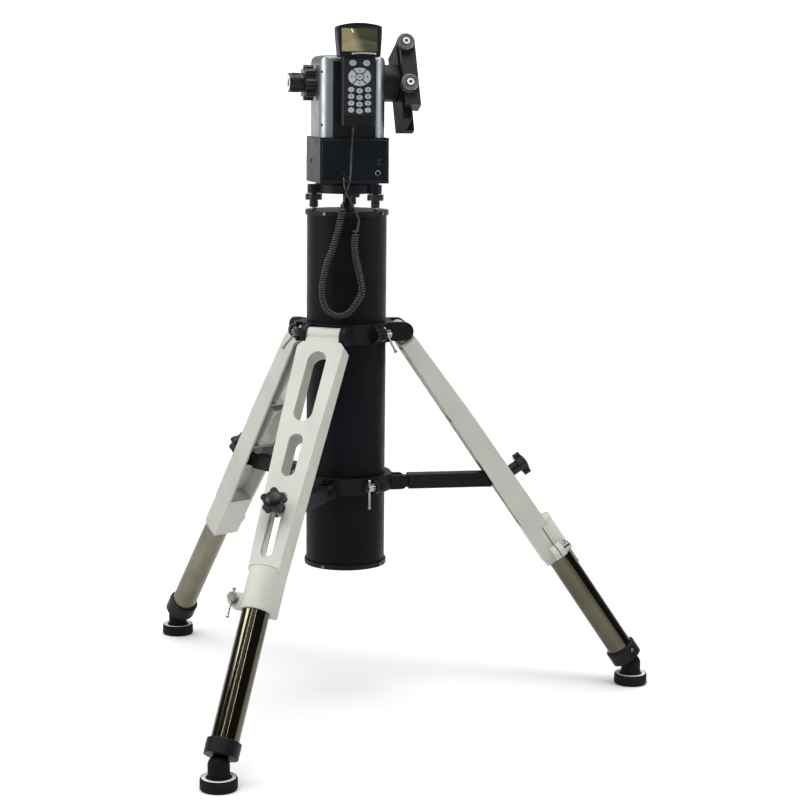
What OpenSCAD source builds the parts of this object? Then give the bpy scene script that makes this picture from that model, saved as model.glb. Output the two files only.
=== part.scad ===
// Alt-azimuth telescope mount on a pier with three folding legs.
// Units are millimetres. +Z is up, the front of the mount faces -Y, and the
// origin lies on the floor under the axis of the pier column.

/* [Pier] */
// Outside diameter of the column
pier_d = 152.4; // [120:0.1:200]
// Wall thickness of the column
pier_wall = 5; // [3:0.5:10]
// Height of the column's bottom cap above the floor
pier_low = 272; // [200:1:400]
// Height of the column's top cap above the floor
pier_high = 961; // [700:1:1200]
// Thickness of each end cap's rim
cap_rim = 9; // [6:1:16]

/* [Legs] */
// Direction of the first leg, counted from +X
leg_turn = 8.6; // [0:0.1:120]
// Angle between a leg and the vertical
leg_angle = 34.2; // [20:0.1:45]
// Height of the leg hinges
hinge_high = 730; // [500:1:900]
// Distance of the hinges from the pier axis
hinge_out = 106; // [95:1:140]
// Length of a leg casting below its hinge pin
casting_long = 560; // [400:1:700]
// Outside diameter of a leg's sliding tube
tube_d = 50.8; // [30:0.1:60]
// Diameter of a rubber foot
foot_d = 66; // [50:1:90]

/* [Struts] */
// Height of the struts
strut_high = 430.5; // [300:0.5:600]
// Width of a strut's square tube
strut_w = 28; // [20:1:40]

/* [Levelling base] */
// Radius of the circle of levelling screws
level_r = 68; // [50:0.5:90]
// Thickness of the levelling plate
level_plate = 16.5; // [10:0.5:25]

/* [Head] */
// Turn of the head about the azimuth axis
head_yaw = 12.5; // [-30:0.5:30]
// Width of the square base box
box_w = 132.5; // [100:1:160]
// Height of the base box
box_high = 85.5; // [60:0.5:120]
// Width of the tower
tower_w = 127; // [90:1:150]
// Depth of the tower
tower_deep = 118; // [80:1:140]
// Height of the tower above the base box
tower_high = 152.5; // [120:0.5:200]
// Height of the altitude axis above the base box
alt_high = 101; // [70:0.5:130]

/* [Saddle] */
// Tilt of the saddle about the altitude axis
saddle_tilt = 25; // [0:1:60]
// Length of the saddle plate
saddle_long = 156; // [120:1:260]
// Width of the dovetail bar that the saddle holds
dovetail_w = 44.5; // [40:0.1:76]

/* [Handset] */
// Width of the handset's keypad part
handset_w = 63; // [50:1:80]
// Width of the handset's display part
handset_head_w = 87; // [70:1:110]
// Overall height of the handset
handset_high = 187; // [150:1:220]

/* [Hidden] */
$fn = 48;
fit = 0.05;          // radial clearance of a shaft in its bore
gap = 0.5;           // clearance between faces that move past each other
legs = [0, 1, 2];

// pier
pier_r = pier_d / 2;
cap_r = pier_r + 3.4;
cap_screw_r = 3.5;

// hinges and collars
collar_r = 90;
up_low = 711;
up_high = 748;
low_low = 421;
low_high = 452;
lug_t = 11.5;
tongue_half = 33;
tongue_r = 15;
leg_pin_r = 6;
strut_pin_r = 5;
strut_in = 107;      // distance of the strut pins from the pier axis
strut_lug_half = 9;
ear_out = 99;        // distance of the clamp screws from the pier axis
ear_r = 13;
clamp_shaft_r = 4;
slit = 2;

// leg casting, in the leg's own frame: x outward, y sideways, -z down the leg
top_half = 47;
low_half = 29.5;
skin = 5;
back_x = -20;
shoulder = 19.5;     // the shoulders stay clear of the collar's lugs
axis_x = 12;         // the sliding tube's axis
socket_r = 29.5;
socket_top = 478;
slot_top = 332;
slot_low = 462;
slot_r = 13.5;
slot_floor = 19;
bolt_slot_r = 6.5;
stud_r = 6;
window_one = [40, 187, 18.5];
window_two = [214, 300, 13.5];
ear_side = -42;      // sideways place of the casting's clamp ear
ear_down = 543;

// the strut's outer pin lies where the strut's line meets the leg's axis
pivot_down = (hinge_high - strut_high) / cos(leg_angle);
pivot_out = hinge_out + pivot_down * sin(leg_angle);
fork_long = 20;

// sliding tube and foot
tube_r = tube_d / 2;
tube_top = 486;
tube_low = 806;
boot_top = 799;
boot_low = 825;
boot_r = 31;
ball_r = 19.5;
ball_down = 840;
ball_out = hinge_out + ball_down * sin(leg_angle) + axis_x * cos(leg_angle);
ball_high = hinge_high - ball_down * cos(leg_angle) + axis_x * sin(leg_angle);
pad_high = 20;

// levelling base
plate_low = pier_high + 32.5;
plate_high = plate_low + level_plate;
level_turn = [202, 322, 82];
level_shaft_r = 5;
lobe_r = 12;
knob_low = pier_high + 20;
knob_high = knob_low + 11;
plate_stud_r = 8;

// head, before it is turned by head_yaw
box_lift = 3.5;      // height of the box above the levelling plate
box_low = plate_high + box_lift;
box_top = box_low + box_high;
box_wall = 4;
spindle_r = 20;
alt_z = box_top + alt_high;
tower_wall = 4;
tower_front = -tower_deep / 2;
cover_half = 41;
cover_t = 6;
alt_shaft_r = 14;
wheel_in = -tower_w / 2 - 2.5;
wheel_out = wheel_in - 20.5;
socket_out = wheel_out - 27.5;
thread_r = 6;

// saddle, in the frame of the altitude axis: x outward, z along the plate
hub_in = tower_w / 2 + gap;
hub_out = 93;
hub_r = 35;
plate_t = 17;
plate_half = 35;
jaw_high = 16.5;     // height of the jaws above the plate
jaw_low_end = -66;
jaw_top_end = 66;
saddle_mid = -10;    // middle of the plate along its length
jaw_inner = dovetail_w / 2;
dovetail_lean = 15;
clamp_out = 51;      // front face of the clamping jaw
saddle_knobs = [58, -26];
saddle_knob_r = 16.5;
saddle_screw_x = 12.5;
saddle_screw_long = 39;
saddle_screw_r = 4;

// handset
handset_low = box_top + 22;
handset_side = 2.5;  // the handset hangs a little to one side of its pads
handset_back = tower_front - 4.5;
handset_t = 26;
handset_front = handset_back - handset_t;
handset_head_high = 61;
handset_lean = 4;
screen_w = 70;
screen_high = 50;
key_out = 1.6;
handset_exit = -8;   // the cord leaves the handset to the left of its middle
key_columns = [-16, 0, 16];
key_pitch = 12.5;
key_stagger = 2.2;   // the middle column's keys sit lower
nav_z = handset_low + 90.5;
nav_out = [21.4, 16.7];
nav_in = [8.8, 7.1];

// Route of the handset's cord, in the room's frame at rest: a straight lead from
// the handset, a hanging loop of coiled cord, and a straight lead to the plug
cord_r = 2;
coil_r = 7;
top_lead = [[11, -76, 1128], [10.5, -78, 1112], [8, -88, 1080], [7, -96, 1046], [5, -99, 1022],
  [-1, -102, 998], [-7, -104, 980]];
coil_route = [[-7, -104, 980], [-12, -104, 948], [-18, -105, 922], [-26, -106, 894], [-35, -106, 871],
  [-42, -107, 843], [-45, -108, 819], [-43, -108, 796], [-35, -108, 779], [-22, -108, 770], [-8, -108, 769],
  [7, -109, 778], [20, -109, 796], [28, -109, 814], [26, -109, 834], [21, -109, 858], [16, -108, 882],
  [14, -108, 906], [16, -108, 924], [21, -108, 936]];
plug_lead = [[21, -108, 936], [22, -108, 948], [18, -108, 960], [9, -109, 979], [-2, -109, 1002],
  [-6, -103, 1021], [-6, -89, 1031]];

pier_tube();
pier_top_cap();
pier_bottom_cap();
cap_screws();
upper_collar();
lower_collar();
hinge_pins();
collar_clamp_screws();
for (i = legs) {
  leg_place(i) leg_casting();
  leg_place(i) leg_tube();
  leg_place(i) tube_boot();
  turn_to_leg(i) foot();
  turn_to_leg(i) strut();
  leg_place(i) slot_shoe();
  leg_place(i) star_knob();
  leg_place(i) leg_clamp_screw();
  rotate([0, 0, level_turn[i]]) levelling_screw();
}
levelling_plate();
in_head() base_box();
in_head() power_rocker();
azimuth_spindle();
in_head() tower_shell();
in_head() tower_cover();
in_head() altitude_shaft();
in_head() clutch_wheel();
in_head() counterweight_socket();
in_head() altitude_hub();
in_saddle() saddle_plate();
in_saddle() saddle_jaw();
in_saddle() saddle_knob(saddle_knobs[0]);  // saddle_knob_upper
in_saddle() saddle_knob(saddle_knobs[1]);  // saddle_knob_lower
in_handset() handset_body();
in_handset() handset_screen();
in_handset() handset_keypad();
in_handset() nav_key(0);  // key_up
in_handset() nav_key(270);  // key_right
in_handset() nav_key(180);  // key_down
in_handset() nav_key(90);  // key_left
cord_top_lead();
cord_coil();
cord_plug_lead();
cord_plug();

// ---- frames ----

function leg_azimuth(i) = leg_turn + 120 * i;

module turn_to_leg(i) { rotate([0, 0, leg_azimuth(i)]) children(); }

module leg_place(i) {
  turn_to_leg(i) translate([hinge_out, 0, hinge_high]) rotate([0, -leg_angle, 0]) children();
}

module in_head() { rotate([0, 0, head_yaw]) children(); }

// the handset's frame, square to the head
module in_handset() { in_head() translate([handset_side, 0, 0]) children(); }

module in_saddle() { in_head() translate([0, 0, alt_z]) rotate([-saddle_tilt, 0, 0]) children(); }

// ---- plain shapes ----

// cylinder along +X from x = a to x = b
module rod_x(a, b, r) { translate([a, 0, 0]) rotate([0, 90, 0]) cylinder(h = b - a, r = r); }

// cylinder along +Y from y = a to y = b
module rod_y(a, b, r) { translate([0, a, 0]) rotate([-90, 0, 0]) cylinder(h = b - a, r = r); }

// box given by its two corners
module block(a, b) { translate(a) cube(b - a); }

// rectangle with round corners, centred
module round_rect(w, d, r) {
  square([w - 2 * r, d], center = true);
  square([w, d - 2 * r], center = true);
  for (x = [-1, 1], y = [-1, 1]) translate([x * (w / 2 - r), y * (d / 2 - r)]) circle(r);
}

// long hole down a leg, cut along +X from x = a to x = b
module long_hole(a, b, top, low, r) {
  translate([0, 0, -top - r]) rod_x(a, b, r);
  translate([0, 0, -low + r]) rod_x(a, b, r);
  block([a, -r, -low + r], [b, r, -top - r]);
}

// clamp screw along +Z: shaft below z = 0, head above it, tommy bar across
module t_screw(shaft_long, bar_slide) {
  translate([0, 0, -shaft_long]) cylinder(h = shaft_long + 1, r = clamp_shaft_r - fit);
  difference() {
    union() {
      cylinder(h = 4, r = 9.5);
      translate([0, 0, 3]) cylinder(h = 12, r = 8);
    }
    translate([-9, 0, 9]) rod_x(0, 18, 2.1);
  }
  translate([bar_slide, 0, 9]) {
    rod_x(-25, 25, 2.1);
    for (side = [-1, 1]) translate([side * 26, 0, 0]) sphere(r = 3.3, $fn = 24);
  }
}

// ---- pier column ----

module pier_tube() {
  color("#15171a") translate([0, 0, pier_low + cap_rim]) difference() {
    cylinder(h = pier_high - pier_low - 2 * cap_rim, r = pier_r, $fn = 96);
    translate([0, 0, -1]) cylinder(h = pier_high - pier_low, r = pier_r - pier_wall, $fn = 96);
  }
}

module pier_cap() {
  difference() {
    union() {
      cylinder(h = cap_rim, r = cap_r, $fn = 96);
      translate([0, 0, cap_rim - 1]) cylinder(h = 13, r = pier_r - pier_wall - fit, $fn = 96);
    }
    translate([0, 0, cap_rim - 2]) cylinder(h = 20, r = pier_r - pier_wall - 6, $fn = 96);
    cap_screw_spots(cap_screw_r - fit);
  }
}

module cap_screw_spots(r) {
  for (a = [45 : 90 : 315]) rotate([0, 0, a + 13])
    translate([0, 0, cap_rim / 2]) rod_x(cap_r - 14, cap_r + 1.5, r);
}

module pier_top_cap() {
  color("#1b1d20") {
    translate([0, 0, pier_high]) mirror([0, 0, 1]) pier_cap();
    translate([0, 0, pier_high - 1]) cylinder(h = plate_low + 9 - pier_high, r = plate_stud_r - fit);
  }
}

module pier_bottom_cap() { color("#1b1d20") translate([0, 0, pier_low]) pier_cap(); }

module cap_screws() {
  color("#b9bcc0") {
    translate([0, 0, pier_low]) cap_screw_spots(cap_screw_r - 2 * fit);
    translate([0, 0, pier_high - cap_rim]) cap_screw_spots(cap_screw_r - 2 * fit);
  }
}

// ---- collars ----

module collar(low, high, pin_out, pin_high, pin_r, lug_in, lug_wide, lug_r) {
  difference() {
    union() {
      translate([0, 0, low]) cylinder(h = high - low, r = collar_r, $fn = 96);
      for (i = legs) turn_to_leg(i) for (side = [-1, 1]) translate([0, side * (lug_in + lug_wide / 2), 0]) {
        block([60, -lug_wide / 2, pin_high - lug_r], [pin_out, lug_wide / 2, pin_high + lug_r]);
        translate([pin_out, 0, pin_high]) rod_y(-lug_wide / 2, lug_wide / 2, lug_r);
      }
      for (i = legs) rotate([0, 0, leg_azimuth(i) + 60]) {
        block([70, -11, low], [ear_out, 11, high]);
        translate([ear_out, 0, (low + high) / 2]) rod_y(-11, 11, ear_r);
      }
    }
    translate([0, 0, low - 20]) cylinder(h = high - low + 40, r = pier_r, $fn = 96);
    for (i = legs) turn_to_leg(i) {
      translate([pin_out, 0, pin_high]) rod_y(-lug_in - lug_wide - 1, lug_in + lug_wide + 1, pin_r);
      block([collar_r - 2, -lug_in, low - 1], [pin_out + 30, lug_in, high + 1]);
    }
    for (i = legs) rotate([0, 0, leg_azimuth(i) + 60]) {
      block([pier_r + (i == 2 ? -5 : 4), -slit / 2, low - 1], [ear_out + 20, slit / 2, high + 1]);
      translate([ear_out, 0, (low + high) / 2]) rod_y(-12, 12, clamp_shaft_r);
    }
  }
}

module upper_collar() {
  color("#15171a") collar(up_low, up_high, hinge_out, hinge_high, leg_pin_r, tongue_half + gap, lug_t, 18);
}

module lower_collar() {
  color("#15171a")
    collar(low_low, low_high, strut_in, strut_high, strut_pin_r, strut_lug_half + gap, 8, 14);
}

module hinge_pins() {
  color("#8d9095") for (i = legs) turn_to_leg(i) {
    translate([hinge_out, 0, hinge_high])
      rod_y(-tongue_half - lug_t - 2, tongue_half + lug_t + 2, leg_pin_r - fit);
    translate([strut_in, 0, strut_high]) rod_y(-20, 20, strut_pin_r - fit);
  }
}

module collar_clamp_screws() {
  color("#c6c9cc") for (i = legs) rotate([0, 0, leg_azimuth(i) + 60]) {
    translate([ear_out, 11.2, (up_low + up_high) / 2]) rotate([-90, 50, 0]) t_screw(20, 14);
    translate([ear_out, -11.2, (low_low + low_high) / 2]) rotate([90, 90, 0]) t_screw(20, 13);
  }
}

// ---- leg casting, tube, foot ----

// outline of the casting seen square on, drawn with y across and z up
module casting_front(inset) {
  polygon([
    [-tongue_half - 6 + inset, -shoulder - inset], [-top_half + inset, -shoulder - 10 - inset],
    [-low_half + inset, -socket_top - 8], [-low_half + inset, -casting_long + inset],
    [low_half - inset, -casting_long + inset], [low_half - inset, -socket_top - 8],
    [top_half - inset, -shoulder - 10 - inset], [tongue_half + 6 - inset, -shoulder - inset]
  ]);
}

// outline of the casting seen from the side, drawn with x outward and z up
module casting_side(inset) {
  polygon([
    [back_x - 2 * inset, -shoulder - inset], [11.5 - inset, -shoulder - inset], [20 - inset, -200],
    [25.5 - inset, -450], [25.5 - inset, -socket_top - 8], [axis_x, -socket_top - 8],
    [axis_x, -casting_long + inset], [back_x - 2 * inset, -casting_long + inset]
  ]);
}

module casting_hull(inset) {
  intersection() {
    translate([-60, 0, 0]) rotate([90, 0, 90]) linear_extrude(120) casting_front(inset);
    translate([0, 60, 0]) rotate([90, 0, 0]) linear_extrude(120) casting_side(inset);
  }
}

module casting_channel() {
  difference() {
    casting_hull(skin);
    // walls around the two windows, ribs across, and the pad that the shoe bears on
    for (w = [window_one, window_two])
      block([back_x, -w[2] - 4, -w[1] - 4], [40, w[2] + 4, -w[0] + 4]);
    for (down = [200, 316]) block([back_x + 8, -50, -down - 2], [40, 50, -down + 2]);
    block([14, -30, -socket_top], [40, 30, -slot_top + 12]);
    block([back_x - 20, -50, -casting_long - 20], [40, 50, -socket_top + 14]);
  }
}

module leg_casting() {
  color("#d3d5d0") difference() {
    union() {
      difference() {
        casting_hull(0);
        casting_channel();
      }
      // hinge tongue
      rod_y(-tongue_half, tongue_half, tongue_r);
      block([-tongue_r, -tongue_half, -shoulder - 5], [11.5, tongue_half, 0]);
      // tube socket with its clamp ear
      translate([axis_x, 0, -casting_long]) cylinder(h = casting_long - socket_top, r = socket_r, $fn = 64);
      translate([0, ear_side, -ear_down]) rod_x(axis_x - 12, axis_x + 12, ear_r);
      block([axis_x - 12, ear_side, -ear_down - ear_r], [axis_x + 12, -18, -ear_down + ear_r]);
    }
    for (w = [window_one, window_two]) long_hole(back_x - 30, 60, w[0], w[1], w[2]);
    long_hole(slot_floor, 60, slot_top, slot_low, slot_r);
    long_hole(back_x, 60, pivot_down - bolt_slot_r - 1, slot_low - slot_r + bolt_slot_r, bolt_slot_r);
    translate([axis_x, 0, -casting_long - 1])
      cylinder(h = casting_long - tube_top + 3, r = tube_r + fit, $fn = 64);
    block([axis_x - slit / 2, -70, -casting_long - 1], [axis_x + slit / 2, 0, -tube_top]);
    translate([0, ear_side, -ear_down]) rod_x(axis_x - 20, axis_x + 20, clamp_shaft_r);
    rod_y(-60, 60, leg_pin_r);
  }
}

module leg_tube() {
  color("#85857c") translate([axis_x, 0, -tube_low]) difference() {
    cylinder(h = tube_low - tube_top, r = tube_r, $fn = 64);
    translate([0, 0, -1]) cylinder(h = tube_low - tube_top + 2, r = tube_r - 2.5, $fn = 64);
  }
}

module tube_boot() {
  color("#222427") translate([axis_x, 0, 0]) difference() {
    translate([0, 0, -boot_low]) cylinder(h = boot_low - boot_top, r = boot_r, $fn = 64);
    translate([0, 0, -tube_low]) cylinder(h = 20, r = tube_r, $fn = 64);
    translate([0, 0, -ball_down]) sphere(r = ball_r + gap, $fn = 64);
  }
}

module foot() {
  color("#1d1f21") translate([ball_out, 0, 0]) {
    rotate_extrude($fn = 64) {
      polygon([[0, 0], [foot_d / 2 - 2, 0], [foot_d / 2, 3], [foot_d / 2, pad_high - 2],
        [foot_d / 2 - 3, pad_high], [ball_r, pad_high], [ball_r, ball_high], [0, ball_high]]);
      intersection() {
        translate([0, ball_high]) circle(r = ball_r, $fn = 64);
        translate([0, ball_high - 1]) square([40, 40]);
      }
    }
  }
}

module leg_clamp_screw() {
  color("#c6c9cc") translate([axis_x + 12 + gap, ear_side, -ear_down]) rotate([0, 90, 0]) t_screw(24, 11);
}

// ---- struts, shoes and star knobs ----

module strut() {
  half = strut_w / 2;
  end = pivot_out - fork_long;
  color("#15171a") translate([0, 0, strut_high]) difference() {
    union() {
      block([strut_in + 16, -half, -half], [end, half, half]);
      block([strut_in, -strut_lug_half, -11], [strut_in + 18, strut_lug_half, 11]);
      translate([strut_in, 0, 0]) rod_y(-strut_lug_half, strut_lug_half, 11);
      for (side = [-1, 1]) translate([0, side * 11.4, 0]) {
        block([end - 2, -2, -10], [pivot_out, 2, 10]);
        translate([pivot_out, 0, 0]) rod_y(-2, 2, 10.5);
      }
    }
    block([strut_in + 20, -half + 2.5, -half + 2.5], [end + 1, half - 2.5, half - 2.5]);
    translate([strut_in, 0, 0]) rod_y(-30, 30, strut_pin_r);
    translate([pivot_out, 0, 0]) rod_y(-30, 30, strut_pin_r);
  }
}

// the shoe's eye sits in the strut's fork and its stud passes the leg's slot
module slot_shoe() {
  color("#9a9da1") translate([0, 0, -pivot_down]) {
    rod_y(-8.9, 8.9, 9);
    block([0, -8.9, -8], [11, 8.9, 8]);
    rod_x(8, 48, stud_r - fit);
    rod_y(-15, 15, strut_pin_r - fit);
  }
}

module star_knob() {
  color("#14161a") translate([0, 0, -pivot_down]) difference() {
    union() {
      rod_x(slot_floor + 2.5, 45, 12);
      translate([44, 0, 0]) rotate([0, 90, 0]) linear_extrude(14) {
        circle(r = 17.5);
        for (a = [0 : 72 : 288]) rotate(a + 42) translate([17.5, 0]) circle(r = 7);
      }
    }
    rod_x(10, 50, stud_r);
  }
}

// ---- levelling base ----

module levelling_plate() {
  color("#1b1d20") difference() {
    translate([0, 0, plate_low]) linear_extrude(level_plate) difference() {
      union() {
        circle(r = 62);
        for (a = level_turn) rotate(a) {
          translate([level_r, 0]) circle(r = lobe_r);
          translate([level_r / 2, 0]) square([level_r, 2 * lobe_r], center = true);
        }
      }
      for (a = level_turn) rotate(a) translate([level_r, 0]) circle(r = level_shaft_r);
    }
    translate([0, 0, plate_low - 1]) cylinder(h = 10, r = plate_stud_r);
  }
}

module levelling_screw() {
  translate([level_r, 0, 0]) color("#2a2c2f") {
    translate([0, 0, knob_low]) linear_extrude(knob_high - knob_low) {
      circle(r = 14.5);
      for (a = [0 : 60 : 300]) rotate(a) translate([12, 0]) circle(r = 4.5);
    }
    translate([0, 0, pier_high + 6]) cylinder(h = knob_low - pier_high - 5, r = 7.8);
    translate([0, 0, pier_high + 0.3]) cylinder(h = 8, r = 4);
    translate([0, 0, knob_high - 1]) cylinder(h = plate_high - 2 - knob_high, r = level_shaft_r - fit);
  }
}

// ---- head ----

module azimuth_spindle() {
  color("#a98b4b") {
    translate([0, 0, plate_high]) cylinder(h = 30, r = spindle_r - fit);
    translate([0, 0, plate_high]) cylinder(h = box_lift - gap, r = 44, $fn = 96);
    translate([0, 0, box_low + 14]) cylinder(h = 9, r = 46, $fn = 96);
    translate([0, 0, box_low + 8]) cylinder(h = 6, r = 26);
  }
}

module base_box() {
  color("#1d1f22") difference() {
    translate([0, 0, box_low]) linear_extrude(box_high) round_rect(box_w, box_w, 3);
    translate([0, 0, box_low + box_wall]) linear_extrude(box_high - 2 * box_wall)
      round_rect(box_w - 2 * box_wall, box_w - 2 * box_wall, 2);
    translate([0, 0, box_low - 1]) cylinder(h = 20, r = spindle_r);
    // ports, supply socket, rocker window and cable hole
    for (x = [-25, -11]) block([x - 5.5, -80, box_low + 14], [x + 5.5, -50, box_low + 25]);
    translate([44.5, 0, box_low + 19.5]) rod_y(-80, -50, 5);
    block([40, -80, box_low + 33], [52, -50, box_low + 49]);
    translate([0, 20, box_low + 40]) rod_x(-80, -50, 3);
  }
}

module power_rocker() {
  color("#2b2d30") translate([46, 4 - box_w / 2, box_low + 41]) rotate([6, 0, 0]) difference() {
    block([-5.6, -5.6, -7], [5.6, 4, 7]);
    rod_x(-7, 7, 1.5);
  }
}

module tower_shell() {
  color("#c3c6ca") translate([0, 0, box_top]) difference() {
    tower_form(0);
    tower_form(tower_wall);
    block([-cover_half, -80, -1], [cover_half, -30, tower_high - 12]);
    translate([0, 0, alt_high]) rod_x(-90, 90, alt_shaft_r);
  }
}

// block with round upright edges and a round top
module tower_form(inset) {
  intersection() {
    translate([0, 0, -inset]) linear_extrude(tower_high)
      round_rect(tower_w - 2 * inset, tower_deep - 2 * inset, 25 - inset);
    translate([0, 90, 0]) rotate([90, 0, 0]) linear_extrude(180)
      tower_side(tower_w / 2 - inset, inset, 19 - inset);
    translate([-90, 0, 0]) rotate([90, 0, 90]) linear_extrude(180)
      tower_side(tower_deep / 2 - inset, inset, 14 - inset);
  }
}

module tower_side(half, inset, r) {
  translate([-half, -1]) square([2 * half, tower_high - inset - r + 1]);
  translate([-half + r, 0]) square([2 * half - 2 * r, tower_high - inset]);
  for (x = [-1, 1]) translate([x * (half - r), tower_high - inset - r]) circle(r);
}

module tower_cover() {
  color("#17191c") translate([0, 0, box_top]) {
    block([-cover_half, tower_front - 1.5, 0], [cover_half, tower_front + cover_t, tower_high - 12]);
    // pads that the handset hangs on
    for (z = [45, 110]) block([-18, handset_back, z], [18, tower_front, z + 20]);
  }
}

module altitude_shaft() {
  color("#8d9095") translate([0, 0, alt_z]) {
    rod_x(socket_out + 16, hub_in + 2, alt_shaft_r - fit);
    rod_x(-6, 6, 42);
  }
}

module clutch_wheel() {
  color("#26282b") translate([0, 0, alt_z]) difference() {
    union() {
      rod_x(wheel_out, wheel_in, 26);
      for (a = [0 : 45 : 315]) rotate([a, 0, 0])
        translate([0, 0, 26]) rod_x(wheel_out + 1, wheel_in - 1, 7.5);
    }
    rod_x(wheel_out - 1, wheel_in + 1, alt_shaft_r);
  }
}

module counterweight_socket() {
  color("#303236") translate([0, 0, alt_z]) difference() {
    rod_x(socket_out, wheel_out - gap, 18);
    rod_x(socket_out + 16, wheel_out + 1, alt_shaft_r - fit);
    rod_x(socket_out - 1, socket_out + 17, thread_r);
  }
}

module altitude_hub() {
  color("#26282b") translate([0, 0, alt_z]) difference() {
    rod_x(hub_in, hub_out, hub_r);
    rod_x(hub_in - 1, hub_in + 2, alt_shaft_r - fit);
  }
}

// ---- saddle ----

// outlines drawn with x outward and y across, then drawn out along z

module fixed_jaw_profile() {
  lean = 14 * tan(dovetail_lean);
  polygon([[plate_t - 1, jaw_inner], [plate_t, jaw_inner], [plate_t + 14, jaw_inner - lean],
    [plate_t + jaw_high, jaw_inner - lean], [plate_t + jaw_high, plate_half], [plate_t - 1, plate_half]]);
}

module clamp_jaw_profile() {
  lean = 14 * tan(dovetail_lean);
  polygon([[plate_t + gap, jaw_inner + gap], [plate_t + 14, jaw_inner + gap - lean],
    [plate_t + jaw_high, jaw_inner + gap - lean], [plate_t + jaw_high, clamp_out - 4],
    [plate_t + jaw_high - 4, clamp_out], [3, clamp_out], [3, plate_half + gap],
    [plate_t + gap, plate_half + gap]]);
}

module saddle_plate() {
  color("#232527") translate([hub_out, 0, 0]) difference() {
    union() {
      translate([0, 0, saddle_mid - saddle_long / 2]) linear_extrude(saddle_long) {
        translate([0, -plate_half]) square([plate_t, 2 * plate_half]);
        fixed_jaw_profile();
      }
    }
    for (z = saddle_knobs) translate([saddle_screw_x, 0, z]) rod_y(-40, -8, saddle_screw_r);
  }
}

module saddle_jaw() {
  color("#3a3c3e") translate([hub_out, 0, 0]) difference() {
    translate([0, 0, jaw_low_end]) linear_extrude(jaw_top_end - jaw_low_end)
      mirror([0, 1]) clamp_jaw_profile();
    for (z = saddle_knobs) translate([saddle_screw_x, 0, z]) rod_y(-clamp_out - 1, -30, saddle_screw_r);
  }
}

module saddle_knob(z) {
  color("#9b9da0") translate([hub_out + saddle_screw_x, -clamp_out - gap, z]) {
    rod_y(-12, 0, saddle_knob_r);
    rod_y(-14, -11, 6);
    rod_y(-1, saddle_screw_long, saddle_screw_r - fit);
  }
}

// ---- handset ----

module handset_body() {
  color("#1e2023") difference() {
    union() {
      translate([0, handset_back - handset_t / 2, handset_low])
        linear_extrude(handset_high - handset_head_high + 4)
        round_rect(handset_w, handset_t, 6);
      in_handset_head() handset_head();
    }
    in_handset_head() screen_block(2);
    keypad_base();
    nav_holes(12);
    translate([handset_exit, handset_back - handset_t / 2, handset_low - 1])
      cylinder(h = 12, r = cord_r + 1);
  }
}

module in_handset_head() {
  translate([0, handset_back, handset_low + handset_high - handset_head_high])
    rotate([-handset_lean, 0, 0]) children();
}

module handset_head() {
  intersection() {
    translate([0, -17.5, -5]) linear_extrude(80) round_rect(handset_head_w, 31, 9);
    rotate([90, 0, 0]) linear_extrude(80) intersection() {
      half = handset_head_w / 2;
      polygon([[-half + 5, 0], [half - 5, 0], [half + 1, 60], [half + 1, 70], [-half - 1, 70],
        [-half - 1, 60]]);
      translate([0, handset_head_high - 150]) circle(r = 150, $fn = 96);
    }
  }
}

module screen_block(front) {
  block([-screen_w / 2, -32 - front, 6], [screen_w / 2, -29, 6 + screen_high]);
}

module handset_screen() { color("#7c7b52") in_handset_head() screen_block(0.5); }

module keypad_base() {
  block([-29, handset_front - 1, handset_low + 20], [29, handset_front + 2, handset_low + 124]);
}

module handset_keypad() {
  color("#cfd1d2") difference() {
    union() {
      keypad_base();
      for (x = [-13, 13]) translate([x, 0, nav_z + 25.3]) key_bump([6.5, 5.4]);
      for (row = [0 : 3], x = key_columns)
        translate([x, 0, nav_z - 23.3 - key_pitch * row - (x == 0 ? key_stagger : 0)])
          key_bump([5.9, 4.8]);
      translate([0, 0, nav_z]) key_bump([7.4, 5.4]);
    }
    nav_holes(12);
  }
}

// oval key standing on the keypad
module key_bump(radii) {
  translate([0, handset_front, 0]) rotate([90, 0, 0]) linear_extrude(1 + key_out)
    scale(radii) circle(r = 1);
}

// quarter of an oval ring about the keypad's middle, turned by a and drawn out forwards
module nav_shape(a, back, front, grow) {
  translate([0, handset_front + back, nav_z]) rotate([90, 0, 0]) linear_extrude(back + front)
    intersection() {
      difference() {
        scale(nav_out + [grow, grow]) circle(r = 1);
        scale(nav_in - [grow, grow]) circle(r = 1);
      }
      rotate(a) polygon([[0, 1.6 - 1.4 * grow], [24, 25.6 - 1.4 * grow], [24, 40], [-24, 40],
        [-24, 25.6 - 1.4 * grow]]);
    }
}

module nav_holes(deep) { for (a = [0 : 90 : 270]) nav_shape(a, deep, 3, 0.5); }

module nav_key(a) { color("#cfd1d2") nav_shape(a, 9, 1 + key_out, 0); }

// ---- cord ----

// point on a smooth curve through the route, u counted in route points
function on_route(p, i, t) = let(a = p[max(i - 1, 0)], b = p[i], c = p[i + 1], d = p[min(i + 2, len(p) - 1)])
  b + t * (c - a) / 2 + t * t * (2 * a - 5 * b + 4 * c - d) / 2 + t * t * t * (3 * b - a - 3 * c + d) / 2;

function smooth_route(p) = [for (i = [0 : len(p) - 2], t = [0, 0.5]) on_route(p, i, t), p[len(p) - 1]];

function unit(v) = v / norm(v);

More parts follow.
